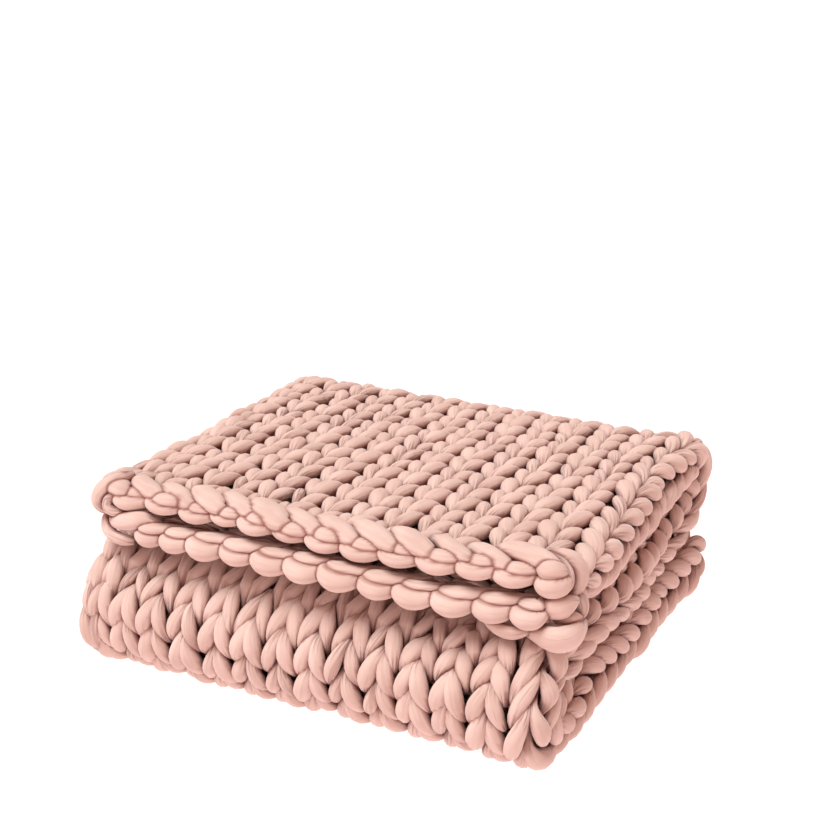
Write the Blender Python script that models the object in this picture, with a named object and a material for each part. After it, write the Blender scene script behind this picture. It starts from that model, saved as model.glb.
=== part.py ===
# Chunky knitted weighted blanket, doubled in its width and then folded in three in its length.
# Metres, +Z up. The origin is under the middle of the folded blanket, on the surface it lies on.

import math

import bmesh
import bpy
from mathutils import Vector

# The knitting
STITCH_WIDTH = 0.036          # one stitch across
STITCHES = 29                 # 14 on each half and one round the fold at the right
CLOTH_THICKNESS = 0.0295      # over the ribs of stitches
RIB_DEPTH = 0.0045            # of the furrow between two ribs, on each face

# The folded stack
LAYER_PITCH = 0.0333          # from one layer's middle to the next one's
LAYERS = 6                    # two in each of the three folded lengths
TURN_X = 0.2084               # where the doubled cloth starts to turn over, on the right
ROLLED_SELVEDGE = 0.018       # width that the drawn-in edge stitch still takes
FRONT_FOLD_Y = -0.186         # centre of the fold at the front
BACK_FOLD_Y = 0.170           # centre of the fold at the back
UPPER_EDGE_Y = -0.207         # bound-off edge of the topmost layer
LOWER_EDGE_Y = -0.222         # the same edge where it has turned under
CAST_ON_Y = 0.247             # cast-on edge of the bottom length
BACK_FOLD_BULGE = 0.012       # how far the outer layer stands off at the back

# The chain along both ends
CHAIN_WIDTH = 0.032           # of the thick edge chain
CHAIN_SWELL = 0.0015          # how much it stands over the ribs, on the knit side
CHAIN_GROOVE = 0.0035         # depth of the furrow behind it
CHAIN_BUMP = 0.0035           # furrow between two of its links
CHAIN_STATIONS = (0.0, 0.25, 0.62, 1.0)  # where it is drawn, from its outermost line inwards
CHAIN_LIP = 0.62              # thickness left at its outermost line
CHAIN_CREST = 0.6             # below 1, its thickest line lies nearer the edge
SELVEDGE_LIP = 0.6            # thickness left at the cloth's side edges
SELVEDGE_ZONE = (0.0, 0.5)    # stitches from the side edge over which the full thickness is reached

# How the weight has settled
SQUARENESS = 0.11             # how much fuller than round the turn and the foot of the front fold are
FRONT_LEAN = 0.13             # how much flatter than round the upper front is
BACK_SAG = 0.009              # drop of the top towards the back
UPPER_CORNER_OUT = 0.012      # how far the upper chain's left end reaches out
LOWER_CORNER_IN = 0.012       # how far the lower chain's left end has slipped in
EDGE_PULL = 0.012             # how far the turn on the right holds the bound-off edge back
CORNER_SPREAD = 0.009         # how far the back right corners stand out
BACK_LIFT = 0.019             # how much higher the layers lie at the back, half way up
TOP_WAVE = 0.0025             # slow unevenness of the top
SIDE_WAVE = 0.003             # slow unevenness of the sides
WAVE_ACROSS = (9, 1.1)        # the top's unevenness from left to right: radians a metre, and its start
WAVE_ALONG = (8, -0.4)        # and from front to back
SWAY_RATES = (11, 14)         # radians a metre along y and z for the shift to the right
STEP_RATES = (8, 9, 0.7)      # radians a metre along x and z, and the start, for the shift to the back

# Where that starts and where it is full
SLIP_ZONE = (0.13, 0.21)      # towards the front
CORNER_ZONE = (0.15, 0.25)    # towards the left
PULL_ZONE = (11.0, 14.0)      # towards the turn, in stitches
SAG_ZONE = (0.0, 0.25)        # towards the back
FIRM_ZONE = (0.16, 0.22)      # towards the right, where the doubled turn carries the top
LIFT_ZONE = (0.12, 0.22)      # towards the back
SPREAD_ZONE = (0.1, 0.2)      # towards the back and towards the right

# How finely it is drawn
RIB_FLANK = 0.27              # share of a stitch from its furrow to the edge of its crest
TURN_STEPS = 9                # round the doubling turn
FOLD_STEPS = 7                # round each lengthwise fold
FLAT_STEPS = 4                # along each folded length

DUSTY_PINK = (0.72, 0.42, 0.36, 1.0)

HALF_LAYER = LAYER_PITCH / 2
TURN_RADIUS = HALF_LAYER
TURN_STITCHES = math.pi * TURN_RADIUS / STITCH_WIDTH
TURN_START = STITCHES / 2 - TURN_STITCHES / 2


def smooth(value, low, high):
    """0 below low, 1 above high, with a soft step between."""
    share = min(max((value - low) / (high - low), 0.0), 1.0)
    return share * share * (3 - 2 * share)


def remove_objects():
    for item in list(bpy.data.objects):
        bpy.data.objects.remove(item)


def stations_across():
    """Places across the cloth, in stitches: each rib and furrow, and finer round the turn."""
    ribs = math.floor(TURN_START)
    flat = [column + place for column in range(ribs) for place in (0, RIB_FLANK, 1 - RIB_FLANK)] + [ribs]
    turn = [TURN_START + TURN_STITCHES * step / TURN_STEPS for step in range(TURN_STEPS + 1)]
    return flat + turn + [STITCHES - place for place in reversed(flat)]


def spread(start, end, steps):
    """Even places from start to end, without the first one."""
    return [start + (end - start) * (step + 1) / steps for step in range(steps)]


def stations_along():
    """Places along the cloth as (stretch, share of it), from the bound-off to the cast-on edge."""
    places = [("bound off", share) for share in CHAIN_STATIONS]
    places += [("top", share) for share in spread(0, 1, FLAT_STEPS)]
    places += [("back fold", share) for share in spread(0, 1, FOLD_STEPS)]
    places += [("middle", share) for share in spread(0, 1, FLAT_STEPS)]
    places += [("front fold", share) for share in spread(0, 1, FOLD_STEPS)]
    places += [("bottom", share) for share in spread(0, 1, FLAT_STEPS)]
    places += [("cast on", share) for share in reversed(CHAIN_STATIONS[:-1])]
    return places


def doubled(stitch):
    """The doubled cloth seen from its end: (x, offset from the layers' middle, outward normal)."""
    if stitch > STITCHES / 2:
        x, offset, normal = doubled(STITCHES - stitch)
        return x, -offset, Vector((normal.x, -normal.y))
    if stitch >= TURN_START:
        angle = math.pi * (stitch - TURN_START) / TURN_STITCHES
        outward = Vector((math.sin(angle), -math.cos(angle)))
        outward *= 1 + SQUARENESS * math.sin(2 * angle) ** 2
        return TURN_X + TURN_RADIUS * outward.x, TURN_RADIUS * outward.y, outward
    drawn_in = (STITCH_WIDTH - ROLLED_SELVEDGE) * max(1 - stitch, 0)
    return TURN_X - (TURN_START - stitch) * STITCH_WIDTH + drawn_in, -HALF_LAYER, Vector((0, -1))


def edge_line(stitch, offset):
    """Where the bound-off edge lies: further forward on the lower layer, and held back at the turn."""
    upper = smooth(offset, -HALF_LAYER, HALF_LAYER)
    pull = EDGE_PULL * smooth(min(stitch, STITCHES - stitch), *PULL_ZONE)
    return LOWER_EDGE_Y + (UPPER_EDGE_Y - LOWER_EDGE_Y) * upper + pull


def length_path(stretch, share, edge):
    """The middle of a folded length, and the way that leads out from it, both in the YZ section."""
    pitch = LAYER_PITCH
    if stretch == "bound off":
        return Vector((edge + CHAIN_WIDTH * share, 5 * pitch)), Vector((0, 1))
    if stretch == "top":
        start = edge + CHAIN_WIDTH
        return Vector((start + (BACK_FOLD_Y - start) * share, 5 * pitch)), Vector((0, 1))
    if stretch == "back fold":
        outward = Vector((math.sin(math.pi * share), math.cos(math.pi * share)))
        return Vector((BACK_FOLD_Y, 4 * pitch)) + outward * pitch, outward
    if stretch == "middle":
        return Vector((BACK_FOLD_Y + (FRONT_FOLD_Y - BACK_FOLD_Y) * share, 3 * pitch)), Vector((0, -1))
    if stretch == "front fold":
        outward = Vector((-math.sin(math.pi * share), math.cos(math.pi * share)))
        fullness = SQUARENESS if share > 0.5 else -FRONT_LEAN
        outward *= 1 + fullness * math.sin(2 * math.pi * share) ** 2
        return Vector((FRONT_FOLD_Y, 2 * pitch)) + outward * pitch, -outward
    end = CAST_ON_Y - CHAIN_WIDTH
    if stretch == "bottom":
        return Vector((FRONT_FOLD_Y + (end - FRONT_FOLD_Y) * share, pitch)), Vector((0, 1))
    return Vector((end + CHAIN_WIDTH * (1 - share), pitch)), Vector((0, 1))


def half_thickness(stitch, stretch, share, outer):
    """Half the cloth's thickness at one place, over its ribs, furrows and edge chain."""
    furrow = ((1 + math.cos(2 * math.pi * stitch)) / 2) ** 2
    half = CLOTH_THICKNESS / 2
    rests = outer and stitch < STITCHES / 2 and stretch == "bottom"
    if not rests:
        half -= RIB_DEPTH * furrow
    if stretch in ("bound off", "cast on"):
        swell = math.sin(math.pi * share ** CHAIN_CREST)
        half += ((CHAIN_SWELL if outer else 0) - CHAIN_BUMP * furrow) * swell
        half -= CHAIN_GROOVE * smooth(share, CHAIN_STATIONS[2], 1.0)
        half *= CHAIN_LIP + (1 - CHAIN_LIP) * smooth(share, 0.0, CHAIN_STATIONS[1])
    selvedge = min(stitch, STITCHES - stitch)
    return half * (SELVEDGE_LIP + (1 - SELVEDGE_LIP) * smooth(selvedge, *SELVEDGE_ZONE))


def settle(place):
    """The slow sag and unevenness of the lying stack, none of it at the surface that it lies on."""
    height = place.z / (LAYERS * LAYER_PITCH)
    sag = BACK_SAG * smooth(place.y, *SAG_ZONE) * (1 - smooth(place.x, *FIRM_ZONE))
    across = WAVE_ACROSS[0] * place.x + WAVE_ACROSS[1]
    along = WAVE_ALONG[0] * place.y + WAVE_ALONG[1]
    wave = TOP_WAVE * math.sin(across) * math.cos(along)
    lift = BACK_LIFT * math.sin(math.pi * height) * smooth(place.y, *LIFT_ZONE)
    spread_out = CORNER_SPREAD * smooth(place.y, *SPREAD_ZONE) * smooth(place.x, *SPREAD_ZONE)
    sway = SIDE_WAVE * math.sin(SWAY_RATES[0] * place.y + SWAY_RATES[1] * place.z)
    step = SIDE_WAVE * math.sin(STEP_RATES[0] * place.x + STEP_RATES[1] * place.z + STEP_RATES[2])
    return place + Vector((sway + spread_out, step, (wave - sag) * height + lift))


def place_point(stitch, stretch, share, outer):
    """Where one point of the knit side (outer) or the purl side of the cloth lies in the folded stack."""
    x, offset, normal = doubled(stitch)
    reach = half_thickness(stitch, stretch, share, outer) * (1 if outer else -1)
    x += normal.x * reach
    middle, out = length_path(stretch, share, edge_line(stitch, offset))
    if stretch == "back fold":
        upper = smooth(offset, -HALF_LAYER, HALF_LAYER)
        offset += BACK_FOLD_BULGE * upper * math.sin(math.pi * share) ** 2
    rise = offset + normal.y * reach
    if stretch in ("bound off", "top"):
        forward = smooth(-middle.x, *SLIP_ZONE)
        upper = smooth(offset, -HALF_LAYER, HALF_LAYER)
        slip = LOWER_CORNER_IN - (LOWER_CORNER_IN + UPPER_CORNER_OUT) * upper
        x += slip * forward * smooth(-x, *CORNER_ZONE)
    section = middle + out * rise
    return settle(Vector((x, section.x, section.y - (HALF_LAYER - CLOTH_THICKNESS / 2))))


def folded_cloth():
    """One closed body: a flat slab of stations, each carried to its place in the fold."""
    across = stations_across()
    along = stations_along()
    work = bmesh.new()
    bmesh.ops.create_grid(work, x_segments=len(across) - 1, y_segments=len(along) - 1, size=0.5)
    bmesh.ops.solidify(work, geom=work.faces[:], thickness=1.0)
    for vert in work.verts:
        stitch = across[round((vert.co.x + 0.5) * (len(across) - 1))]
        stretch, share = along[round((vert.co.y + 0.5) * (len(along) - 1))]
        vert.co = place_point(stitch, stretch, share, abs(vert.co.z) < 0.5)
    if work.calc_volume(signed=True) < 0:
        bmesh.ops.reverse_faces(work, faces=work.faces[:])
    low = Vector([min(vert.co[axis] for vert in work.verts) for axis in range(3)])
    high = Vector([max(vert.co[axis] for vert in work.verts) for axis in range(3)])
    middle = (low + high) / 2
    bmesh.ops.translate(work, verts=work.verts[:], vec=(-middle.x, -middle.y, -low.z))
    mesh = bpy.data.meshes.new("blanket")
    work.to_mesh(mesh)
    work.free()
    mesh.shade_smooth()
    return mesh


def jersey_yarn():
    material = bpy.data.materials.new("dusty_pink_jersey")
    material.use_nodes = True
    shader = material.node_tree.nodes["Principled BSDF"]
    shader.inputs["Base Color"].default_value = DUSTY_PINK
    shader.inputs["Roughness"].default_value = 0.9
    shader.inputs["Metallic"].default_value = 0.0
    return material


def build():
    remove_objects()
    collection = bpy.data.collections.new("weighted_blanket")
    bpy.context.scene.collection.children.link(collection)
    blanket = bpy.data.objects.new("blanket", folded_cloth())
    blanket.data.materials.append(jersey_yarn())
    collection.objects.link(blanket)


build()
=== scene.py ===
import math
import bpy
import bmesh
import numpy as np
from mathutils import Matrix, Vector


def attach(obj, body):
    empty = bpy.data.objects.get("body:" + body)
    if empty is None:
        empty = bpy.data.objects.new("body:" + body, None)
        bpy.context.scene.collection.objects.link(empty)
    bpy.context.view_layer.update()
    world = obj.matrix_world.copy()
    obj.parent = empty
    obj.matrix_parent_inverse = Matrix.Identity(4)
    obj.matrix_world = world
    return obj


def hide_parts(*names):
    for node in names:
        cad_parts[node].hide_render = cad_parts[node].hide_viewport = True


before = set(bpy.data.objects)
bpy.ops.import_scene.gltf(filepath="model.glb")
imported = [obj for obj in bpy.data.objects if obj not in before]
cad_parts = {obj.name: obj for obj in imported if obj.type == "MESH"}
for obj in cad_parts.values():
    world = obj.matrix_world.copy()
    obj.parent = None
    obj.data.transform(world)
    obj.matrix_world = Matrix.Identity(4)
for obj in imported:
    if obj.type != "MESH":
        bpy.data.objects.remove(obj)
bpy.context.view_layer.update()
print("the frame is loaded")

# the cloth before it is folded; a pair of numbers is where a change begins and ends
cloth = {
    "stitchWidth": 0.036, "rowHeight": 0.0304, "stitches": 29, "rows": 44,
    "layerPitch": 0.0333, "thickness": 0.0295,
    "turnX": 0.2084,                  # where the doubled cloth begins its turn at the right
    "rolledSelvedge": 0.018,          # the width of the last stitch, which rolls in
    "firstRow": 0.034,                # from the bound-off edge to the middle of the first row
    "drawnUnder": 0.5,                # how much the end rows are drawn in under the chain
    "edgeDip": 0.1, "edgeDipEnds": (0.008, 0.034),    # and how much lower they lie there
    "rowDrift": 1.15,                 # how far the outer rows slip past the inner ones round a fold
    "driftStitches": (13.1, 15.9),    # where the lower layer passes into the upper one
}
# the stack that it is folded into, seen from the front
stack = {
    "frontFoldY": -0.186, "backFoldY": 0.170, "castOnY": 0.247,
    "upperEdgeY": -0.207, "lowerEdgeY": -0.222,       # the bound-off edge on the two upper layers
    "edgePull": 0.012, "edgePullStitches": (11, 14),  # that edge is pulled in towards the right
    "squareness": 0.11, "frontLean": 0.13, "backFoldBulge": 0.012,   # how unlike half circles
    "upperCornerOut": 0.012, "lowerCornerIn": 0.012,  # the corner at the left of the bound-off edge
    "cornerFront": (0.13, 0.21), "cornerLeft": (0.15, 0.25),
    "centre": (-0.0151, -0.0009), "layers": 6,
    # how many layers high the middle of each folded length and of each fold is
    "levels": {"top": 5, "backFold": 4, "middle": 3, "frontFold": 2, "bottom": 1},
}
# the slow shape of the lying stack; a wave has a height, a rate along each of two axes and a start
settling = {
    "sag": 0.009, "sagX": (0.16, 0.22), "sagY": (0, 0.25),
    "lift": 0.019, "liftY": (0.12, 0.22),
    "spread": 0.009, "spreadX": (0.1, 0.2), "spreadY": (0.1, 0.2),
    "topWave": 0.0025, "topWaveRates": (9, 8), "topWaveStarts": (1.1, -0.4),
    "sideWave": 0.003, "sideWaveRates": (11, 14),
    "frontWave": 0.003, "frontWaveRates": (8, 9), "frontWaveStart": 0.7,
}
unevenness = {
    "seed": 11, "legShift": 0.05, "legLean": 0.025, "legSize": 0.10, "legHeight": 0.08,
    "columnDrift": 0.11, "rowDrift": 0.14, "driftSpacing": 3,   # stitches or rows to a change
}

stitchWidth, rowHeight, pitch = cloth["stitchWidth"], cloth["rowHeight"], cloth["layerPitch"]
halfLayer = pitch / 2
halfCloth = cloth["stitches"] / 2
turnStitches = math.pi * halfLayer / stitchWidth
turnStart = halfCloth - turnStitches / 2
levels = stack["levels"]
bottomLength = stack["castOnY"] - stack["frontFoldY"]
middleLength = stack["backFoldY"] - stack["frontFoldY"]
upperLength = stack["backFoldY"] - stack["upperEdgeY"]
wholeLength = upperLength + middleLength + bottomLength + 2 * math.pi * pitch


def softStep(value, low, high):   # from 0 at low to 1 at high, without a corner
    share = np.clip((value - low) / (high - low), 0, 1)
    return share * share * (3 - 2 * share)


# the doubled cloth from its end: x, offset from the middle of its two layers, outward x and z
def acrossCloth(stitch):
    upperLayer = stitch > halfCloth
    place = np.where(upperLayer, cloth["stitches"] - stitch, stitch)
    angle = math.pi * np.clip((place - turnStart) / turnStitches, 0, 1)
    turning = place >= turnStart
    full = 1 + stack["squareness"] * np.sin(2 * angle) ** 2
    drawnIn = (stitchWidth - cloth["rolledSelvedge"]) * np.maximum(1 - place, 0)
    outX = np.where(turning, np.sin(angle) * full, 0)
    outZ = np.where(turning, -np.cos(angle) * full, -1)
    x = np.where(turning, cloth["turnX"] + halfLayer * outX,
                 cloth["turnX"] - (turnStart - place) * stitchWidth + drawnIn)
    side = np.where(upperLayer, -1, 1)
    return x, halfLayer * outZ * side, outX, outZ * side


# the middle of the doubled cloth along its folds: y, z, outward y and z, the bulge of the back fold
def alongCloth(distance, stitch, offset):
    upper = softStep(offset, -halfLayer, halfLayer)
    fromSide = np.minimum(stitch, cloth["stitches"] - stitch)
    edge = stack["lowerEdgeY"] + (stack["upperEdgeY"] - stack["lowerEdgeY"]) * upper
    edge = edge + stack["edgePull"] * softStep(fromSide, *stack["edgePullStitches"])
    drift = cloth["rowDrift"] / 2 * (2 * softStep(stitch, *cloth["driftStitches"]) - 1)
    top = stack["backFoldY"] - edge
    back, front = math.pi * pitch * (1 + drift), math.pi * pitch * (1 - drift)
    run = distance * (wholeLength + top - upperLength) / wholeLength
    toMiddle = top + back
    toFront = toMiddle + middleLength
    toBottom = toFront + front
    # on the top
    y, z = edge + run, np.full_like(run, levels["top"] * pitch)
    outY, outZ = np.zeros_like(run), np.ones_like(run)
    # round the back fold
    here = (run >= top) & (run < toMiddle)
    turn = math.pi * (run - top) / back
    y = np.where(here, stack["backFoldY"] + pitch * np.sin(turn), y)
    z = np.where(here, pitch * (levels["backFold"] + np.cos(turn)), z)
    outY, outZ = np.where(here, np.sin(turn), outY), np.where(here, np.cos(turn), outZ)
    bulge = np.where(here, stack["backFoldBulge"] * upper * np.sin(turn) ** 2, 0)
    # forward through the middle
    here = (run >= toMiddle) & (run < toFront)
    y = np.where(here, stack["backFoldY"] - (run - toMiddle), y)
    z = np.where(here, levels["middle"] * pitch, z)
    outY, outZ = np.where(here, 0, outY), np.where(here, -1, outZ)
    # round the front fold
    here = (run >= toFront) & (run < toBottom)
    turn = math.pi * (run - toFront) / front
    squared = np.where(turn > math.pi / 2, stack["squareness"], -stack["frontLean"])
    full = 1 + squared * np.sin(2 * turn) ** 2
    y = np.where(here, stack["frontFoldY"] - pitch * np.sin(turn) * full, y)
    z = np.where(here, pitch * (levels["frontFold"] + np.cos(turn) * full), z)
    outY = np.where(here, np.sin(turn) * full, outY)
    outZ = np.where(here, -np.cos(turn) * full, outZ)
    # back along the bottom
    here = run >= toBottom
    y = np.where(here, stack["frontFoldY"] + run - toBottom, y)
    z = np.where(here, levels["bottom"] * pitch, z)
    outY, outZ = np.where(here, 0, outY), np.where(here, 1, outZ)
    return y, z, outY, outZ, bulge, run < top


def settle(x, y, z):   # how the stack has settled, with no change at the surface it lies on
    height = z / (stack["layers"] * pitch)
    sag = (settling["sag"] * softStep(y, *settling["sagY"])
           * (1 - softStep(x, *settling["sagX"])))
    (rateX, rateY), (startX, startY) = settling["topWaveRates"], settling["topWaveStarts"]
    wave = settling["topWave"] * np.sin(rateX * x + startX) * np.cos(rateY * y + startY)
    lift = settling["lift"] * np.sin(math.pi * height) * softStep(y, *settling["liftY"])
    spread = (settling["spread"] * softStep(y, *settling["spreadY"])
              * softStep(x, *settling["spreadX"]))
    rateY, rateZ = settling["sideWaveRates"]
    sway = settling["sideWave"] * np.sin(rateY * y + rateZ * z)
    rateX, rateZ = settling["frontWaveRates"]
    step = settling["frontWave"] * np.sin(rateX * x + rateZ * z + settling["frontWaveStart"])
    return np.stack([x + sway + spread, y + step, z + (wave - sag) * height + lift], -1)


# a point of the flat cloth, reach outside its middle, in the folded stack
def inStack(stitch, distance, reach):
    x, offset, outX, outZ = acrossCloth(stitch)
    x = x + outX * reach
    y, z, awayY, awayZ, bulge, onTop = alongCloth(distance, stitch, offset)
    upper = softStep(offset, -halfLayer, halfLayer)
    forward = softStep(-y, *stack["cornerFront"]) * onTop
    rise = offset + bulge + outZ * reach
    slip = stack["lowerCornerIn"] - (stack["lowerCornerIn"] + stack["upperCornerOut"]) * upper
    x = x + slip * forward * softStep(-x, *stack["cornerLeft"])
    place = settle(x, y + awayY * rise, z + awayZ * rise - (halfLayer - cloth["thickness"] / 2))
    return place - np.array([stack["centre"][0], stack["centre"][1], 0])


# the yarn: one stuffed jersey tube, drawn as rings along a path
yarn = {
    "unit": 0.0152,                   # what its heights above the cloth's middle are counted in
    "halfWidth": 0.0088, "halfThickness": 0.0078, "fill": 0.8,
    "gathered": (0.6, 0.95),          # the shares of its width between which the jersey gathers
    "lowest": 0.0004,                 # how far above the surface it stays
    "outwards": 0.001,                # a small step, to find which way is out
    "sides": 12, "chainSides": 20,
}
# half a stitch, from the link between two columns to the middle of the loop's head: columns from
# the left, rows towards the bound-off edge, units outwards, width, thickness
halfStitch = np.array([
    (0.00, -0.62, -0.68, 0.46, 0.52),
    (0.16, -0.78, -0.78, 0.42, 0.48),
    (0.32, -0.90, -0.60, 0.32, 0.40),
    (0.395, -0.86, -0.16, 0.32, 0.40),
    (0.395, -0.66, 0.12, 0.54, 0.60),
    (0.33, -0.36, 0.36, 0.86, 0.86),
    (0.24, -0.05, 0.45, 1.02, 1.02),
    (0.15, 0.24, 0.42, 0.92, 0.98),
    (0.075, 0.52, 0.28, 0.70, 0.78),
    (0.035, 0.80, -0.06, 0.42, 0.50),
    (0.16, 0.98, -0.60, 0.36, 0.44),
    (0.50, 1.00, -0.80, 0.46, 0.52)])
otherHalf = halfStitch[-2:0:-1] * (-1, 1, 1, 1, 1) + (1, 0, 0, 0, 0)
wholeStitch = np.vstack([halfStitch, otherHalf])
legs = (slice(3, 10), slice(13, 20))   # the points of a stitch that show as its two legs
# from the end of a row round the side edge to the next one: columns past the edge, rows on,
# units outwards, width, thickness
rowJoin = np.array([
    (0.16, -0.1, -0.20, 0.75, 0.75),
    (0.16, 0.5, 0.05, 0.95, 0.95),
    (0.16, 1.1, -0.20, 0.75, 0.75)])
chance = np.random.RandomState(unevenness["seed"])


def smoothChance(across, along):   # uneven but gradual values over the cloth
    spacing = unevenness["driftSpacing"]
    grid = chance.normal(0, 1, (cloth["rows"] // spacing + 4, cloth["stitches"] // spacing + 4))
    across, along = across / spacing + 1, along / spacing + 1
    i = np.clip(along.astype(int), 0, grid.shape[0] - 2)
    j = np.clip(across.astype(int), 0, grid.shape[1] - 2)
    s, t = softStep(along - i, 0, 1), softStep(across - j, 0, 1)
    return ((grid[i, j] * (1 - s) + grid[i + 1, j] * s) * (1 - t)
            + (grid[i, j + 1] * (1 - s) + grid[i + 1, j + 1] * s) * t)


# one row: stitch, distance from the bound-off edge, units outwards, width and thickness
def rowPoints(row):
    points = []
    for column in range(cloth["stitches"]):
        stitch = wholeStitch.copy()
        for leg in legs:
            shift, size, lift, lean = chance.normal(0, 1, 4)
            stitch[leg, 1] += unevenness["legShift"] * shift
            stitch[leg, 0] += unevenness["legLean"] * lean
            stitch[leg, 3:5] *= 1 + unevenness["legSize"] * size
            stitch[leg, 2] += unevenness["legHeight"] * lift
        stitch[:, 0] += column
        points.append(stitch)
    points = np.vstack(points + [wholeStitch[:1] + (cloth["stitches"], 0, 0, 0, 0)])
    points[:, 1] = cloth["firstRow"] + (row - points[:, 1]) * rowHeight
    # the end rows are drawn in under the chain
    side = np.where(points[:, 1] < wholeLength / 2, 1, -1)
    toEdge = np.minimum(points[:, 1], wholeLength - points[:, 1])
    points[:, 1] += side * cloth["drawnUnder"] * np.maximum(cloth["firstRow"] - toEdge, 0)
    points[:, 2] -= cloth["edgeDip"] * (1 - softStep(toEdge, *cloth["edgeDipEnds"]))
    return points


def wholeYarn():   # every row joined to the next at alternate side edges
    rows, first = [], []
    for row in range(cloth["rows"]):
        points = rowPoints(row)
        if row % 2:
            points = points[::-1]
        first.append(sum(len(part) for part in rows))
        if row < cloth["rows"] - 1:
            join = rowJoin.copy()
            atLeft = points[-1, 0] < 1
            join[:, 0] = -join[:, 0] if atLeft else cloth["stitches"] + join[:, 0]
            join[:, 1] = points[-1, 1] + join[:, 1] * rowHeight
            points = np.vstack([points, join])
        rows.append(points)
    return np.vstack(rows), first


def curveThrough(points, steps):   # a smooth curve through the points, read at the given places
    at = np.clip(steps.astype(int), 0, len(points) - 2)
    t = (steps - at)[:, None]
    a, b, c, d = (points[np.clip(at + k, 0, len(points) - 1)] for k in (-1, 0, 1, 2))
    return 0.5 * (2 * b + (c - a) * t + (2 * a - 5 * b + 4 * c - d) * t ** 2
                  + (3 * b - a - 3 * c + d) * t ** 3)


# rings for each point of the yarn: fewer where it lies inside the stack or underneath
drawing = {
    "seen": 2.0, "underside": 1, "hidden": 0.5,
    # how far in from each place the yarn still shows: in stitches from the turn at the right and
    # from the side edges, in metres from the two ends of the cloth and from the front fold
    "fromTurn": 2.2, "fromSides": 1.2, "fromEnds": 0.06, "fromFold": 0.02,
}


def drawnFineness(points):
    stitch, distance = points[:, 0], points[:, 1]
    upper = stitch > halfCloth
    toMiddle = upperLength + math.pi * pitch
    toFront = toMiddle + middleLength
    toBottom = toFront + math.pi * pitch
    fine = np.where(~upper & (distance > toBottom), drawing["underside"], drawing["hidden"])
    seen = upper & (distance < toMiddle)
    seen |= (~upper & (distance > toFront - drawing["fromFold"])
             & (distance < toBottom + drawing["fromFold"]))
    seen |= abs(stitch - halfCloth) < drawing["fromTurn"]
    seen |= (stitch < drawing["fromSides"]) | (stitch > cloth["stitches"] - drawing["fromSides"])
    seen |= (distance < drawing["fromEnds"]) | (distance > wholeLength - drawing["fromEnds"])
    return np.where(seen, drawing["seen"], fine)


def yarnSteps(points):   # where the rings stand along the yarn, counted in its points
    steps = []
    for index, rings in enumerate(drawnFineness(points)):
        if rings >= 1:
            steps += list(index + np.arange(0, 1, 1 / rings))
        elif index % 2:
            steps.append(index)
    return np.array(steps)


def strandSteps(points, between, lastGap):   # the same along a short strand, with a ring at its end
    end = len(points) - 1
    return np.append(np.arange(0, end - lastGap, between), end)


def unit(vectors):
    return vectors / np.maximum(np.linalg.norm(vectors, axis=-1, keepdims=True), 1e-9)


# a tube is its centres, the ways out at them, its half sizes, how gathered it is and its sides
def asTube(centres, outward, width, thickness, sides):
    return {"centres": centres, "outward": unit(outward), "widths": width * yarn["halfWidth"],
            "thicknesses": thickness * yarn["halfThickness"],
            "pinch": 1 - softStep(width, *yarn["gathered"]), "sides": sides}


def tubeFrom(points, steps, sides):   # a tube from points of the flat cloth
    stitch, distance, height, width, thickness = curveThrough(points, steps).T
    reach = height * yarn["unit"]
    centres = inStack(stitch, distance, reach)
    outward = inStack(stitch, distance, reach + yarn["outwards"]) - centres
    return asTube(centres, outward, width, thickness, sides)


def tubeFrame(tube):   # the ways along, sideways and out at every ring
    along = unit(np.gradient(tube["centres"], axis=0))
    sideways = unit(np.cross(along, tube["outward"]))
    return along, sideways, np.cross(sideways, along)


def ringPoints(tube):   # the points of every ring of a tube, and the angles at which they stand
    angle = np.arange(tube["sides"]) * 2 * math.pi / tube["sides"]
    along, sideways, outward = tubeFrame(tube)
    places = (tube["centres"][:, None]
              + sideways[:, None] * (tube["widths"][:, None] * np.cos(angle))[..., None]
              + outward[:, None] * (tube["thicknesses"][:, None] * np.sin(angle))[..., None])
    places[..., 2] = np.maximum(places[..., 2], yarn["lowest"])   # it lies on the surface
    return places, angle


# painted shade: how dark the yarn is painted where strands crowd together or touch, standing in for
# their shadow
shading = {
    "cell": 0.0035, "margin": 0.03,
    "shares": (0.1, 0.45, 0.8),       # where the yarn is marked, from its middle to its surface
    "surface": 0.35,                  # how full the surface below the stack counts as
    "reach": 0.0038,                  # how far off the yarn the crowding is read
    "open": 0.33, "shut": 0.72,       # the fullness at which it begins to darken, and ends
    "creaseWidth": 0.002,
    "creaseSearch": 0.06,             # how far from its middle a strand may meet others
}


def yarnFilled(tubes):   # how full of yarn each small cell of the stack is, slightly softened
    inner = []
    for tube in tubes:
        places = ringPoints(tube)[0]
        places = np.concatenate([places, (places[1:] + places[:-1]) / 2])
        centres = places.mean(1, keepdims=True)
        inner += [(centres + (places - centres) * share).reshape(-1, 3)
                  for share in shading["shares"]]
    inner = np.concatenate(inner)
    low = inner.min(0) - shading["margin"]
    cells = np.ceil((inner.max(0) - low + shading["margin"]) / shading["cell"]).astype(int)
    full = np.zeros(cells)
    full[tuple(((inner - low) / shading["cell"]).astype(int).T)] = 1
    full[:, :, :int(-low[2] / shading["cell"])] = shading["surface"]
    for axis in (0, 1, 2, 0, 1, 2):
        full = (np.roll(full, 1, axis) + 2 * full + np.roll(full, -1, axis)) / 4
    return low, full


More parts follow.
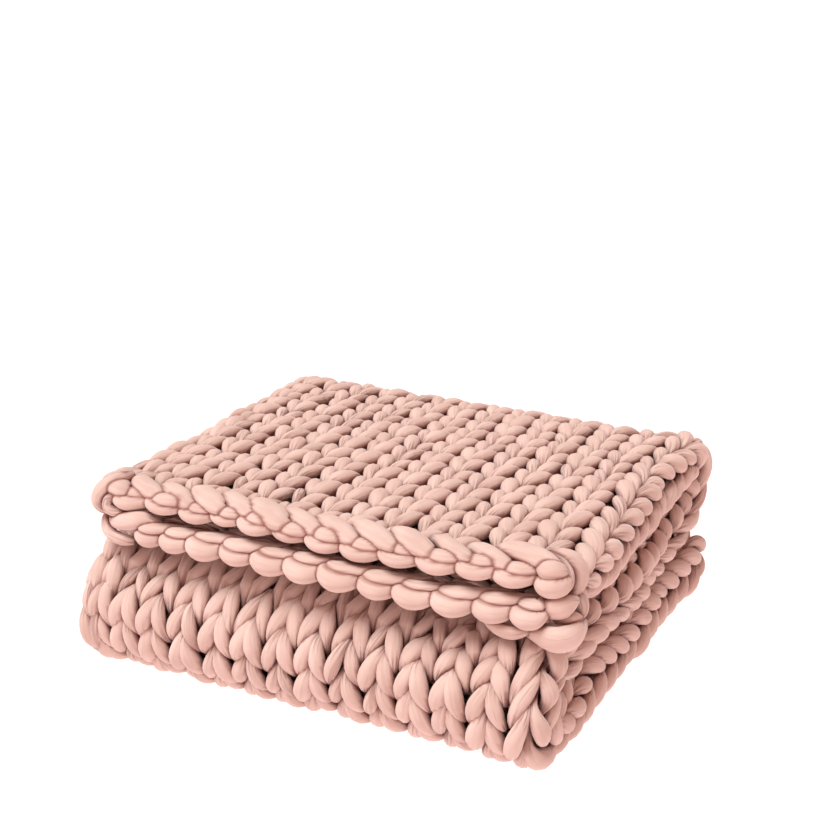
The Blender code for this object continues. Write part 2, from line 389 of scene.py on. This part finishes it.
def shadeAt(points, filled):   # 0 in the open, 1 where other strands crowd in
    low, full = filled
    place = (points - low) / shading["cell"] - 0.5
    cell = np.floor(place).astype(int)
    part = place - cell
    value = 0
    for corner in range(8):
        step = np.array([corner & 1, corner >> 1 & 1, corner >> 2])
        weight = np.prod(np.where(step, part, 1 - part), axis=-1)
        value = value + weight * full[tuple(np.moveaxis(cell + step, -1, 0))]
    return softStep(value, shading["open"], shading["shut"])


# painted shade along the creases: where a strand lies against another, its colour is painted darker
def addCreaseShade(strands):   # 1 where a strand lies against another one, 0 a little way from it
    rings = []   # centre, three directions, half sizes along them and number of the strand
    for index, tube in enumerate(strands):
        widths, thicknesses = tube["widths"], tube["thicknesses"]
        sizes = np.stack([(widths + thicknesses) / 2, widths, thicknesses], -1)
        numbers = np.full((len(widths), 1), index)
        rings.append(np.concatenate([tube["centres"], *tubeFrame(tube), sizes, numbers], -1))
    rings = np.concatenate(rings)
    for index, tube in enumerate(strands):
        distance = np.linalg.norm(rings[:, :3] - tube["centres"].mean(0), axis=1)
        near = rings[(distance < shading["creaseSearch"]) & (rings[:, -1] != index)]
        away = ringPoints(tube)[0][:, :, None] - near[:, :3]
        ratio = sum((np.sum(away * near[:, 3 * k + 3:3 * k + 6], -1) / near[:, 12 + k]) ** 2
                    for k in range(3)) ** 0.5
        gap = ((ratio - 1) * near[:, 12]).min(-1)
        tube["crease"] = 1 - softStep(gap, 0, shading["creaseWidth"])


# the rings of a piece's tubes one after another, and what the material reads on them: the place
# along and round the yarn, how gathered it is and how much painted shade it gets in crowded places
# and creases
def allRings(tubes, filled):
    places, onYarn, pinches, paintedShades = [], [], [], []
    for tube in tubes:
        rings, angle = ringPoints(tube)
        centres, sides = tube["centres"], tube["sides"]
        lengths = np.linalg.norm(np.diff(centres, axis=0), axis=1)
        run = np.concatenate([[0], np.cumsum(lengths)])
        around = np.stack([np.cos(angle), np.sin(angle)], -1) * yarn["halfWidth"]
        outside = rings + unit(rings - centres[:, None]) * shading["reach"]
        places.append(rings)
        onYarn.append(np.concatenate([np.repeat(around[None], len(centres), 0),
                                      np.repeat(run[:, None, None], sides, 1)], -1))
        pinches.append(np.repeat(tube["pinch"][:, None], sides, 1))
        # painted shade: the darker of the crowding shade and the crease shade
        paintedShades.append(np.maximum(shadeAt(outside, filled), tube.get("crease", 0)))
    return [np.concatenate(part) for part in (places, onYarn, pinches, paintedShades)]


def addAttribute(mesh, name, kind, values):
    made = mesh.attributes.new(name, kind, "POINT")
    made.data.foreach_set("vector" if kind == "FLOAT_VECTOR" else "value", values.ravel())


# closed tubes: a flat grid whose points are carried to the rings, cut between one tube and the next
def tubesMesh(name, tubes, filled):
    places, onYarn, pinches, paintedShades = allRings(tubes, filled)
    sides, count = tubes[0]["sides"], len(places)
    gridSize, mergeDistance = 0.5, 1e-7   # the grid reaches this far from its middle
    work = bmesh.new()
    bmesh.ops.create_grid(work, x_segments=sides, y_segments=count - 1, size=gridSize)
    mesh = bpy.data.meshes.new(name)
    work.to_mesh(mesh)
    flat = np.empty(len(mesh.vertices) * 3, np.float32)
    mesh.vertices.foreach_get("co", flat)
    flat = flat.reshape(-1, 3) + gridSize
    side = np.rint(flat[:, 0] * sides).astype(int) % sides
    ring = np.rint(flat[:, 1] * (count - 1)).astype(int)
    mesh.vertices.foreach_set("co", places[ring, side].astype(np.float32).ravel())
    addAttribute(mesh, "yarnPlace", "FLOAT_VECTOR", onYarn[ring, side].astype(np.float32))
    addAttribute(mesh, "pinch", "FLOAT", pinches[ring, side].astype(np.float32))
    # the painted shade of crowded places and creases, kept on the mesh for the material
    addAttribute(mesh, "paintedShade", "FLOAT", paintedShades[ring, side].astype(np.float32))
    addAttribute(mesh, "ring", "INT", ring.astype(np.int32))
    work.clear()
    work.from_mesh(mesh)
    ringOf = work.verts.layers.int["ring"]
    starts = set(np.cumsum([len(tube["centres"]) for tube in tubes]).tolist())
    joins = [face for face in work.faces if max(vert[ringOf] for vert in face.verts) in starts]
    bmesh.ops.delete(work, geom=joins, context="FACES")
    bmesh.ops.remove_doubles(work, verts=work.verts[:], dist=mergeDistance)
    ends = [edge for edge in work.edges if edge.is_boundary]
    bmesh.ops.holes_fill(work, edges=ends, sides=sides)
    if work.calc_volume(signed=True) < 0:
        bmesh.ops.reverse_faces(work, faces=work.faces[:])
    work.to_mesh(mesh)
    work.free()
    mesh.attributes.remove(mesh.attributes["ring"])
    mesh.shade_smooth()
    return mesh


def addPiece(name, mesh):
    piece = bpy.data.objects.new(name, mesh)
    bpy.context.scene.collection.objects.link(piece)
    piece.data.materials.append(jersey)
    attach(piece, "root")
    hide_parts("blanket")
    print(name, sum(len(face.vertices) - 2 for face in mesh.polygons), "triangles")


class Value:   # a shader socket that sums and products can be written with
    def __init__(self, tree, socket):
        self.tree, self.socket = tree, socket

    def reckon(self, operation, other):
        paint = Paint(self.tree)
        return paint.node("ShaderNodeMath", {"operation": operation}, {0: self, 1: other})["Value"]

    def __add__(self, other):
        return self.reckon("ADD", other)

    def __mul__(self, other):
        return self.reckon("MULTIPLY", other)

    __radd__, __rmul__ = __add__, __mul__


class Paint:   # adds nodes to one material
    def __init__(self, tree):
        self.tree = tree

    def node(self, kind, settings=None, inputs=None):
        made = self.tree.nodes.new(kind)
        for name, setting in (settings or {}).items():
            setattr(made, name, setting)
        for name, value in (inputs or {}).items():
            if isinstance(value, Value):
                self.tree.links.new(value.socket, made.inputs[name])
            else:
                made.inputs[name].default_value = value
        return {output.name: Value(self.tree, output) for output in made.outputs if output.enabled}

    def attribute(self, name, output="Fac"):
        return self.node("ShaderNodeAttribute", {"attribute_name": name})[output]

    def noise(self, place, look):
        return self.node("ShaderNodeTexNoise", {}, {"Vector": place, **look})["Fac"]

    def blend(self, share, first, second):   # of two colours
        inputs = {0: share, 6: first, 7: second}
        return self.node("ShaderNodeMix", {"data_type": "RGBA"}, inputs)["Result"]

    def range(self, value, low, high):
        settings = {"interpolation_type": "SMOOTHSTEP"}
        inputs = {"Value": value, "From Min": low, "From Max": high}
        return self.node("ShaderNodeMapRange", settings, inputs)["Result"]


jerseyLook = {
    "colour": (0.635, 0.450, 0.390, 1), "pale": (0.700, 0.510, 0.450, 1),
    # the dark red-brown of the painted shade in troughs, creases and crowded places
    "shadeColour": (0.230, 0.050, 0.034, 1),
    "roughness": 0.92, "sheen": 0.25, "sheenRoughness": 0.5,
    "drawnOut": (1, 1, 0.11),         # creases run along the yarn, so their pattern is drawn out
    "wrinkles": {"Scale": 230, "Detail": 2.5, "Roughness": 0.6}, "trough": (0.52, 0.40),
    "bends": {"Scale": 75, "Detail": 1}, "bendShare": 0.5,
    "weave": {"Scale": 900, "Detail": 1},
    "clouds": {"Scale": 26, "Detail": 2}, "cloudRange": (0.35, 0.65),
    # how deep the troughs are, and how dark their painted shade is, everywhere, and how much more
    # where the yarn gathers
    "depth": 0.12, "gatheredDepth": 0.88, "shade": 0.10, "gatheredShade": 0.40,
    # how far the painted shade of crowded places and creases goes towards that dark colour
    "deepShade": 0.86,
    "creaseHeight": 0.0014, "weaveHeight": 0.00022, "bumpStrength": 0.8,
}


def jerseyMaterial(look):
    material = bpy.data.materials.new("dustyPinkJersey")
    material.use_nodes = True
    tree = material.node_tree
    paint = Paint(tree)
    shader = tree.nodes["Principled BSDF"]
    shader.inputs["Roughness"].default_value = look["roughness"]
    shader.inputs["Sheen Weight"].default_value = look["sheen"]
    shader.inputs["Sheen Roughness"].default_value = look["sheenRoughness"]
    onYarn = paint.attribute("yarnPlace", "Vector")
    # the painted shade of crowded places and creases is read from the yarn
    pinch, paintedShade = paint.attribute("pinch"), paint.attribute("paintedShade")
    onObject = paint.node("ShaderNodeTexCoord")["Object"]
    drawn = paint.node("ShaderNodeVectorMath", {"operation": "MULTIPLY"},
                       {0: onYarn, 1: look["drawnOut"]})["Vector"]
    fold = paint.range(paint.noise(drawn, look["wrinkles"]), *look["trough"])
    bend, weave = paint.noise(drawn, look["bends"]), paint.noise(drawn, look["weave"])
    creases = fold * (look["depth"] + look["gatheredDepth"] * pinch) + bend * look["bendShare"]
    height = creases * -look["creaseHeight"] + weave * look["weaveHeight"]
    bump = paint.node("ShaderNodeBump", {}, {
        "Strength": look["bumpStrength"], "Distance": 1.0, "Height": height})["Normal"]
    tree.links.new(bump.socket, shader.inputs["Normal"])
    cloud = paint.range(paint.noise(onObject, look["clouds"]), *look["cloudRange"])
    colour = paint.blend(cloud, look["colour"], look["pale"])
    # painted shade: the wrinkle troughs, and the places where strands crowd or touch, are painted
    # darker towards the dark shade colour
    troughShade = fold * (look["shade"] + look["gatheredShade"] * pinch)
    colour = paint.blend(troughShade, colour, look["shadeColour"])
    colour = paint.blend(paintedShade * look["deepShade"], colour, look["shadeColour"])
    tree.links.new(colour.socket, shader.inputs["Base Color"])
    return material


jersey = jerseyMaterial(jerseyLook)

# the knitted rows of each piece: its first one, and the one after its last
pieceRows = {
    "topFront": (0, 6), "topBack": (6, 11), "backFold": (11, 17), "middleLength": (17, 27),
    "frontFold": (27, 32), "bottomFront": (32, 38), "bottomBack": (38, 44),
}
joinMiddle = 2   # a piece ends in the middle of a join, this many points before the next row

points, firstPoint = wholeYarn()
rowOf = (points[:, 1] - cloth["firstRow"]) / rowHeight
columnDrift = smoothChance(points[:, 0], rowOf)
rowDrift = smoothChance(points[:, 0], rowOf)
inside = np.clip(np.minimum(points[:, 0], cloth["stitches"] - points[:, 0]), 0, 1)
points[:, 0] += unevenness["columnDrift"] * columnDrift * inside
points[:, 1] += unevenness["rowDrift"] * rowDrift * rowHeight
steps = yarnSteps(points)
tubes = {}
for name, (start, end) in pieceRows.items():
    low = firstPoint[start] - (joinMiddle if start else 0)
    high = firstPoint[end] - joinMiddle if end < cloth["rows"] else len(points) - 1
    part = np.concatenate([[low], steps[(steps > low) & (steps < high)], [high]])
    tubes[name] = [tubeFrom(points, part, yarn["sides"])]
print("the rows are knitted from", len(points), "points")

# the chain along both ends, link by link from the left selvedge to the fold on the right
chain = {
    "sizes": 0.09, "places": 0.0014, "heights": 0.03,   # how uneven its strands are
    "ringStep": 0.16, "castOnRingStep": 0.25, "lastGap": 0.1,   # counted in a strand's points
    "upperKinds": ("slanted", "between", "bump"), "lowerKinds": ("flat", "hanging"),
    # how far each link's tip is from the left selvedge, in stitches
    "upper": (1.36, 2.33, 3.27, 4.24, 5.20, 6.22, 7.30, 8.38, 9.50, 10.63, 11.68, 12.66, 13.6),
    "lower": (1.80, 2.83, 3.86, 4.89, 5.93, 7.00, 8.08, 9.16, 10.24, 11.32, 12.38, 13.36, 14.22),
    # how much higher or lower each link lies, in units
    "upperLift": (-0.3, -0.15, -0.3, -0.1, -0.1, -0.15, -0.2, -0.2, 0.0, 0.18, 0.22, 0.1),
    "lowerLift": (-0.3, -0.25, -0.2, -0.15, -0.1, 0, 0, 0, 0, 0, 0, 0),
}
# each strand of a link: stitches to the right of the link's tip as a share of the link, metres in
# from the edge, units up, width, thickness
chainStrands = {
    "slanted": [
        (-1.34, 0.034, 0.50, 0.40, 0.40), (-1.06, 0.028, 0.74, 0.96, 0.80),
        (-0.74, 0.020, 0.86, 1.36, 1.08), (-0.40, 0.012, 0.86, 1.46, 1.16),
        (-0.07, 0.006, 0.78, 1.36, 1.08), (0.20, 0.002, 0.66, 1.00, 0.86),
        (0.36, 0.005, 0.44, 0.50, 0.50)],
    "between": [
        (0.04, 0.012, 0.50, 0.45, 0.45), (0.17, 0.004, 0.54, 0.80, 0.70),
        (0.42, 0.000, 0.60, 0.98, 0.80), (0.68, 0.001, 0.62, 0.94, 0.76),
        (0.92, 0.005, 0.60, 0.70, 0.60), (1.12, 0.011, 0.54, 0.40, 0.40)],
    "bump": [
        (-0.13, 0.014, 0.50, 0.45, 0.45), (-0.06, 0.005, 0.36, 0.80, 0.78),
        (0.08, -0.001, 0.20, 1.02, 0.98), (0.30, -0.004, 0.12, 1.12, 1.00),
        (0.54, -0.003, 0.14, 1.10, 0.98), (0.78, 0.001, 0.26, 0.92, 0.88),
        (0.95, 0.008, 0.40, 0.62, 0.62), (1.04, 0.016, 0.50, 0.42, 0.42)],
    "flat": [
        (-0.04, 0.016, 0.90, 0.42, 0.42), (0.06, 0.008, 1.00, 0.90, 0.64),
        (0.32, 0.005, 1.05, 1.14, 0.74), (0.64, 0.008, 1.08, 1.06, 0.64),
        (0.96, 0.013, 1.08, 0.88, 0.52), (1.24, 0.019, 1.04, 0.66, 0.42),
        (1.46, 0.027, 0.96, 0.42, 0.36)],
    "hanging": [
        (-0.30, 0.020, 0.76, 0.45, 0.45), (-0.18, 0.010, 0.62, 0.92, 0.88),
        (0.02, 0.002, 0.48, 1.24, 1.22), (0.26, -0.002, 0.40, 1.34, 1.36),
        (0.50, -0.001, 0.42, 1.24, 1.24), (0.72, 0.005, 0.52, 0.98, 0.96),
        (0.90, 0.013, 0.62, 0.64, 0.64), (1.02, 0.020, 0.66, 0.45, 0.45)],
}


def chainStrand(kind, link, upperLayer, castOn):
    shape, tips = np.array(chainStrands[kind]), chain["upper" if upperLayer else "lower"]
    lift = chain["upperLift" if upperLayer else "lowerLift"][link]
    shape[:, 0] = tips[link] + (tips[link + 1] - tips[link]) * shape[:, 0]
    shape[:, 3:] *= 1 + chain["sizes"] * chance.normal()
    shape[1:-1, 1] += chain["places"] * chance.normal()
    shape[:, 2] += lift + chain["heights"] * chance.normal()
    if upperLayer:
        shape[:, 0] = cloth["stitches"] - shape[:, 0]
    else:
        shape[:, 2] *= -1
    if castOn:
        shape[:, 1] = wholeLength - shape[:, 1]
    return shape


for name, castOn in (("boundOffChain", False), ("castOnChain", True)):
    strands = []
    for link in range(len(chain["upper"]) - 1):
        strands += [chainStrand(kind, link, True, castOn) for kind in chain["upperKinds"]]
        strands += [chainStrand(kind, link, False, castOn) for kind in chain["lowerKinds"]]
    between = chain["castOnRingStep" if castOn else "ringStep"]
    sides = yarn["sides" if castOn else "chainSides"]
    tubes[name] = [tubeFrom(part, strandSteps(part, between, chain["lastGap"]), sides)
                   for part in strands]

# where the bound-off chain begins at the left and goes round the fold at the right: the way each
# strand faces, and x, y, z, width, thickness along it
cornerStrands = {
    "leftCurl": ((-0.3, -1, 0.2), [
        (-0.2326, -0.180, 0.1974, 0.50, 0.50), (-0.2377, -0.190, 0.1957, 0.78, 0.78),
        (-0.2422, -0.199, 0.1949, 0.92, 0.90), (-0.2485, -0.206, 0.1909, 0.94, 0.92),
        (-0.2536, -0.210, 0.1837, 0.94, 0.92), (-0.2547, -0.212, 0.1754, 0.86, 0.86),
        (-0.2496, -0.212, 0.1687, 0.62, 0.64), (-0.2434, -0.209, 0.1654, 0.40, 0.40)]),
    "innerCurl": ((-0.2, -1, 0), [
        (-0.2317, -0.204, 0.1845, 0.40, 0.40), (-0.2356, -0.209, 0.1824, 0.56, 0.56),
        (-0.2409, -0.213, 0.1796, 0.64, 0.62), (-0.2406, -0.215, 0.1727, 0.66, 0.64),
        (-0.2346, -0.215, 0.1695, 0.64, 0.62), (-0.2269, -0.212, 0.1687, 0.58, 0.58),
        (-0.2222, -0.205, 0.1702, 0.40, 0.40)]),
    "curlEnd": ((-0.2, -1, 0), [
        (-0.2328, -0.206, 0.1828, 0.30, 0.34), (-0.2381, -0.208, 0.1771, 0.44, 0.46),
        (-0.2364, -0.209, 0.1734, 0.46, 0.46), (-0.2323, -0.206, 0.1741, 0.36, 0.36),
        (-0.2314, -0.202, 0.1772, 0.28, 0.30)]),
    "leftTuck": ((-0.3, -1, 0), [
        (-0.240, -0.186, 0.200, 0.50, 0.50), (-0.239, -0.192, 0.190, 0.72, 0.62),
        (-0.235, -0.196, 0.178, 0.72, 0.62), (-0.229, -0.194, 0.168, 0.50, 0.50)]),
    "leftLoop": ((-0.3, -1, -0.2), [
        (-0.2537, -0.200, 0.1576, 0.50, 0.50), (-0.2507, -0.206, 0.1527, 0.74, 0.74),
        (-0.2447, -0.212, 0.1463, 0.80, 0.80), (-0.2329, -0.217, 0.1429, 0.80, 0.80),
        (-0.2189, -0.219, 0.1422, 0.72, 0.72), (-0.2116, -0.214, 0.1405, 0.50, 0.50)]),
    "lowerStart": ((0, -1, 0.5), [
        (-0.2439, -0.206, 0.1574, 0.40, 0.40), (-0.2313, -0.214, 0.1587, 0.86, 0.74),
        (-0.2136, -0.217, 0.1634, 1.10, 0.96), (-0.1988, -0.215, 0.1667, 1.00, 0.84),
        (-0.1879, -0.210, 0.1646, 0.66, 0.58), (-0.1816, -0.204, 0.1602, 0.40, 0.40)]),
    "lastSlanted": ((0.4, -0.4, 1), [
        (0.172, -0.176, 0.1955, 0.60, 0.60), (0.186, -0.179, 0.2000, 1.05, 0.96),
        (0.202, -0.183, 0.2015, 1.26, 1.08), (0.218, -0.188, 0.2015, 1.24, 1.04),
        (0.231, -0.193, 0.2010, 0.96, 0.84), (0.240, -0.195, 0.1980, 0.50, 0.50)]),
    "cornerWrap": ((1, -0.5, 0.3), [
        (0.2198, -0.174, 0.2033, 0.50, 0.50), (0.2314, -0.174, 0.2009, 0.86, 0.86),
        (0.2414, -0.170, 0.1974, 0.96, 0.92), (0.2481, -0.168, 0.1891, 0.96, 0.92),
        (0.2497, -0.170, 0.1794, 0.92, 0.90), (0.2465, -0.176, 0.1725, 0.80, 0.80),
        (0.2414, -0.182, 0.1691, 0.50, 0.50)]),
    "innerWrap": ((1, -0.6, 0.3), [
        (0.2232, -0.180, 0.2027, 0.45, 0.45), (0.2342, -0.181, 0.1986, 0.66, 0.66),
        (0.2419, -0.183, 0.1903, 0.72, 0.72), (0.2443, -0.186, 0.1814, 0.66, 0.66),
        (0.2414, -0.190, 0.1747, 0.45, 0.45)]),
    "cornerFill": ((0.2, -1, 0), [
        (0.2179, -0.190, 0.1950, 0.60, 0.60), (0.2287, -0.198, 0.1960, 1.14, 1.00),
        (0.2375, -0.199, 0.1974, 1.16, 1.02), (0.2450, -0.194, 0.1968, 0.66, 0.70)]),
    "cornerBump": ((0.2, -1, 0), [
        (0.2185, -0.193, 0.1847, 0.60, 0.70), (0.2271, -0.200, 0.1819, 1.08, 1.00),
        (0.2368, -0.203, 0.1834, 1.16, 1.04), (0.2439, -0.200, 0.1866, 1.06, 1.00),
        (0.2470, -0.194, 0.1914, 0.62, 0.72)]),
    "cornerBox": ((0.3, -1, 0), [
        (0.2232, -0.190, 0.1496, 0.60, 0.60), (0.2332, -0.199, 0.1591, 1.16, 0.90),
        (0.2447, -0.200, 0.1652, 1.24, 0.96), (0.2507, -0.194, 0.1678, 0.90, 0.80),
        (0.2524, -0.186, 0.1675, 0.50, 0.50)]),
    "outerBelow": ((1, -0.4, 0), [
        (0.2420, -0.176, 0.1655, 0.50, 0.50), (0.2491, -0.172, 0.1653, 0.74, 0.74),
        (0.2532, -0.172, 0.1572, 0.80, 0.80), (0.2524, -0.174, 0.1490, 0.76, 0.76),
        (0.2492, -0.180, 0.1440, 0.50, 0.50)]),
    "cornerShelf": ((0.4, -1, 0.2), [
        (0.2358, -0.190, 0.1456, 0.50, 0.50), (0.2472, -0.193, 0.1517, 0.80, 0.76),
        (0.2542, -0.186, 0.1470, 0.80, 0.76), (0.2572, -0.178, 0.1379, 0.50, 0.50)]),
    "cornerLump": ((0.3, -1, -0.3), [
        (0.2114, -0.198, 0.1335, 0.60, 0.60), (0.2272, -0.206, 0.1361, 1.20, 1.04),
        (0.2432, -0.208, 0.1360, 1.50, 1.24), (0.2546, -0.201, 0.1384, 1.44, 1.20),
        (0.2587, -0.190, 0.1430, 0.90, 0.80), (0.2583, -0.182, 0.1471, 0.50, 0.50)]),
    "underChain": ((0, -1, -0.6), [
        (0.168, -0.206, 0.146, 0.40, 0.40), (0.186, -0.213, 0.139, 0.82, 0.74),
        (0.203, -0.213, 0.136, 0.86, 0.78), (0.219, -0.206, 0.140, 0.50, 0.50)]),
    # the same at the left end of the cast-on edge
    "castOnUpper": ((-0.5, 1, 0.6), [
        (-0.212, 0.240, 0.051, 0.50, 0.50), (-0.231, 0.244, 0.053, 0.92, 0.90),
        (-0.2465, 0.239, 0.047, 0.94, 0.92), (-0.253, 0.227, 0.042, 0.88, 0.86),
        (-0.249, 0.213, 0.042, 0.50, 0.50)]),
    "castOnLower": ((-0.5, 1, -0.4), [
        (-0.210, 0.242, 0.012, 0.50, 0.50), (-0.231, 0.245, 0.012, 0.96, 0.92),
        (-0.247, 0.240, 0.015, 0.96, 0.92), (-0.253, 0.227, 0.019, 0.90, 0.86),
        (-0.248, 0.213, 0.022, 0.50, 0.50)]),
    "castOnTuck": ((-0.6, 1, 0), [
        (-0.232, 0.232, 0.044, 0.60, 0.60), (-0.241, 0.238, 0.036, 0.90, 0.84),
        (-0.243, 0.239, 0.026, 0.90, 0.84), (-0.234, 0.234, 0.017, 0.60, 0.60)]),
}
cornerRings = {"between": 0.16, "lastGap": 0.05}


def cornerTube(facing, points):
    steps = strandSteps(points, cornerRings["between"], cornerRings["lastGap"])
    read = curveThrough(np.array(points), steps)
    outward = np.tile(facing, (len(read), 1)).astype(float)
    return asTube(read[:, :3], outward, read[:, 3], read[:, 4], yarn["chainSides"])


tubes["chainEnds"] = [cornerTube(*strand) for strand in cornerStrands.values()]
addCreaseShade(tubes["boundOffChain"] + tubes["castOnChain"] + tubes["chainEnds"])
print("the chains and corners are laid")
filled = yarnFilled([tube for piece in tubes.values() for tube in piece])
for name, piece in tubes.items():
    addPiece(name, tubesMesh(name, piece, filled))

# white paper that goes on far behind and turns up there, lit a little from within
paper = {
    "segments": 64, "radius": 25, "rise": 6.25,
    "colour": (0.12, 0.12, 0.12, 1), "roughness": 1,
    "glow": (1, 0.80, 0.78, 1), "glowStrength": 1.3,
}
floorMesh = bpy.data.meshes.new("floor")
work = bmesh.new()
bmesh.ops.create_circle(work, cap_ends=True, segments=paper["segments"], radius=paper["radius"])
border = [edge for edge in work.edges if edge.is_boundary]
rim = bmesh.ops.extrude_edge_only(work, edges=border)["geom"]
rimPoints = [part for part in rim if isinstance(part, bmesh.types.BMVert)]
bmesh.ops.translate(work, verts=rimPoints, vec=(0, 0, paper["rise"]))
work.to_mesh(floorMesh)
work.free()
floor = bpy.data.objects.new("floor", floorMesh)
bpy.context.scene.collection.objects.link(floor)
paperMaterial = bpy.data.materials.new("whitePaper")
paperMaterial.use_nodes = True
paperInputs = paperMaterial.node_tree.nodes["Principled BSDF"].inputs
paperInputs["Base Color"].default_value = paper["colour"]
paperInputs["Roughness"].default_value = paper["roughness"]
paperInputs["Emission Color"].default_value = paper["glow"]
paperInputs["Emission Strength"].default_value = paper["glowStrength"]
floorMesh.materials.append(paperMaterial)

camera = {
    "place": (0.6405, -1.2715, 0.754), "yaw": 26.56, "pitch": 20.01,
    "pixels": 1440, "imageWidth": 840, "sensor": 36,   # pixels is the lens length in image pixels
}
cameraData = bpy.data.cameras.new("camera")
cameraData.sensor_width = camera["sensor"]
cameraData.lens = camera["pixels"] / camera["imageWidth"] * camera["sensor"]
cameraObject = bpy.data.objects.new("camera", cameraData)
cameraObject.location = camera["place"]
cameraObject.rotation_euler = (math.radians(90 - camera["pitch"]), 0, math.radians(camera["yaw"]))
bpy.context.scene.collection.objects.link(cameraObject)
bpy.context.scene.camera = cameraObject

lighting = {
    "roomColour": (1, 0.56, 0.45, 1), "roomStrength": 0.44,
    "keyEnergy": 3.5, "keyAngle": 40, "keyColour": (0.92, 1, 1), "keyPlace": (-0.85, -0.70, 2.6),
}
studio = bpy.data.worlds.new("studio")
bpy.context.scene.world = studio
studio.use_nodes = True
studioInputs = studio.node_tree.nodes["Background"].inputs
studioInputs["Color"].default_value = lighting["roomColour"]
studioInputs["Strength"].default_value = lighting["roomStrength"]
key = bpy.data.lights.new("key", "SUN")
key.energy, key.color = lighting["keyEnergy"], lighting["keyColour"]
key.angle = math.radians(lighting["keyAngle"])
keyObject = bpy.data.objects.new("key", key)
keyObject.location = lighting["keyPlace"]
keyObject.rotation_euler = (-Vector(lighting["keyPlace"])).to_track_quat("-Z", "Y").to_euler()
bpy.context.scene.collection.objects.link(keyObject)
bpy.context.scene.view_settings.view_transform = "Standard"
print("the floor, the camera and the light are set")
